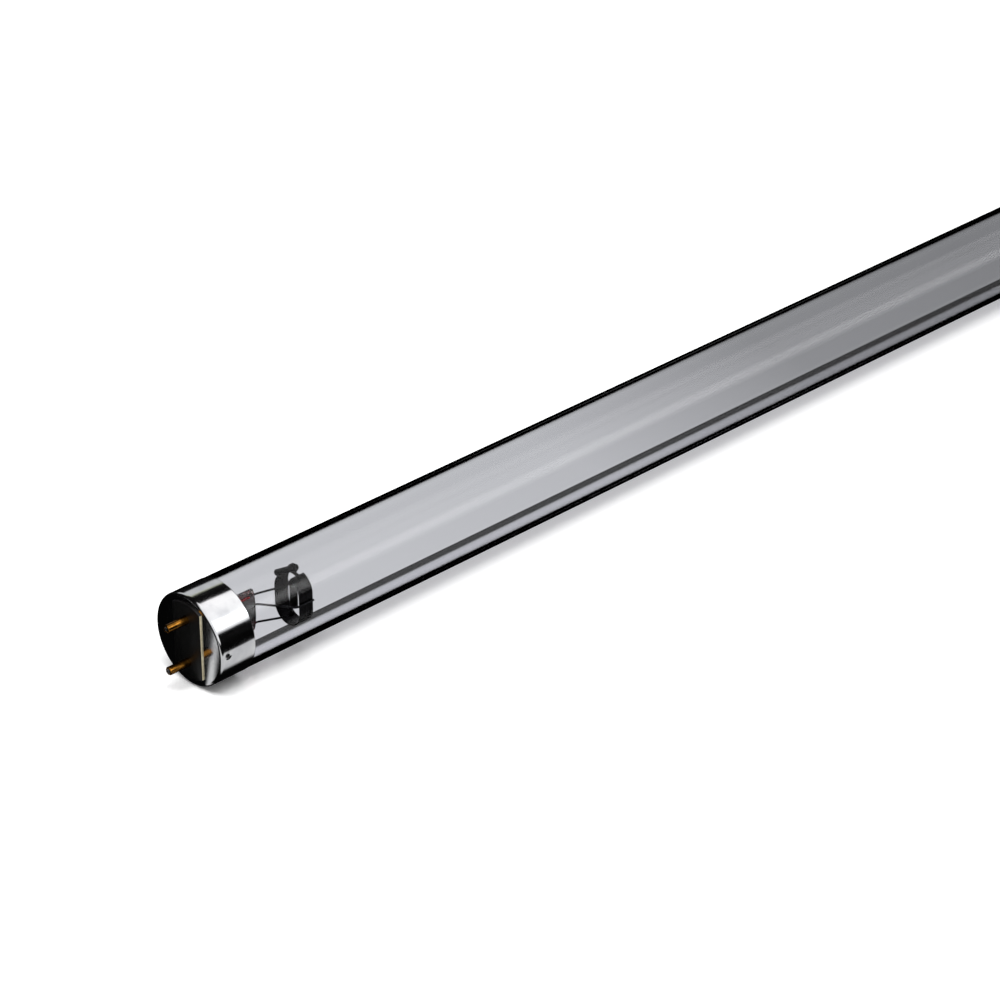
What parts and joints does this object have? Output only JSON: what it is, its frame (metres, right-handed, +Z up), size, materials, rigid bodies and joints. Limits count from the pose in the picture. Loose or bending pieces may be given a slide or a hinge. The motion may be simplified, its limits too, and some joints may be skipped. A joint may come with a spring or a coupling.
{
  "type": "uvc germicidal lamp tube",
  "caption": "Clear straight low-pressure discharge tube with a two-pin aluminium cap and a shielded cathode at each end, for germicidal light.",
  "frame": {"origin": "middle of the lamp, on the tube's axis", "axes": "+X along the tube from the pictured end to the other, +Z up in the plane of the pins"},
  "size_m": [0.4516, 0.0262, 0.0262],
  "materials": {
    "envelope_glass": "clear, smooth drawn tube",
    "stem_glass": "clear, fire-polished",
    "cap_aluminium": "bright drawn",
    "cap_bakelite": "black moulded phenolic",
    "pin_brass": "bright drawn",
    "cap_cement": "baked cement",
    "lead_wire": "nickel-plated wire",
    "seal_copper": "red oxidised copper-clad wire",
    "coil_tungsten": "tungsten with pale oxide coat",
    "guard_steel": "dark nickel-plated strip",
    "capsule_metal": "dark metal"
  },
  "bodies": {
    "root": {"glass_envelope": "envelope_glass", "mercury_capsule": "capsule_metal", "capsule_clip": "guard_steel", "near_cap_shell": "cap_aluminium", "near_cap_insulator": "cap_bakelite", "near_cap_cement": "cap_cement", "near_stem": "stem_glass", "near_exhaust_tube": "stem_glass", "near_pin_upper": "pin_brass", "near_pin_lower": "pin_brass", "near_outer_lead_upper": "lead_wire", "near_outer_lead_lower": "lead_wire", "near_seal_wire_upper": "seal_copper", "near_seal_wire_lower": "seal_copper", "near_inner_lead_upper": "lead_wire", "near_inner_lead_lower": "lead_wire", "near_filament": "coil_tungsten", "near_guard_ring": "guard_steel", "near_guard_support": "lead_wire", "far_cap_shell": "cap_aluminium", "far_cap_insulator": "cap_bakelite", "far_cap_cement": "cap_cement", "far_stem": "stem_glass", "far_exhaust_tube": "stem_glass", "far_pin_upper": "pin_brass", "far_pin_lower": "pin_brass", "far_outer_lead_upper": "lead_wire", "far_outer_lead_lower": "lead_wire", "far_seal_wire_upper": "seal_copper", "far_seal_wire_lower": "seal_copper", "far_inner_lead_upper": "lead_wire", "far_inner_lead_lower": "lead_wire", "far_filament": "coil_tungsten", "far_guard_ring": "guard_steel", "far_guard_support": "lead_wire"}
  },
  "joints": []
}
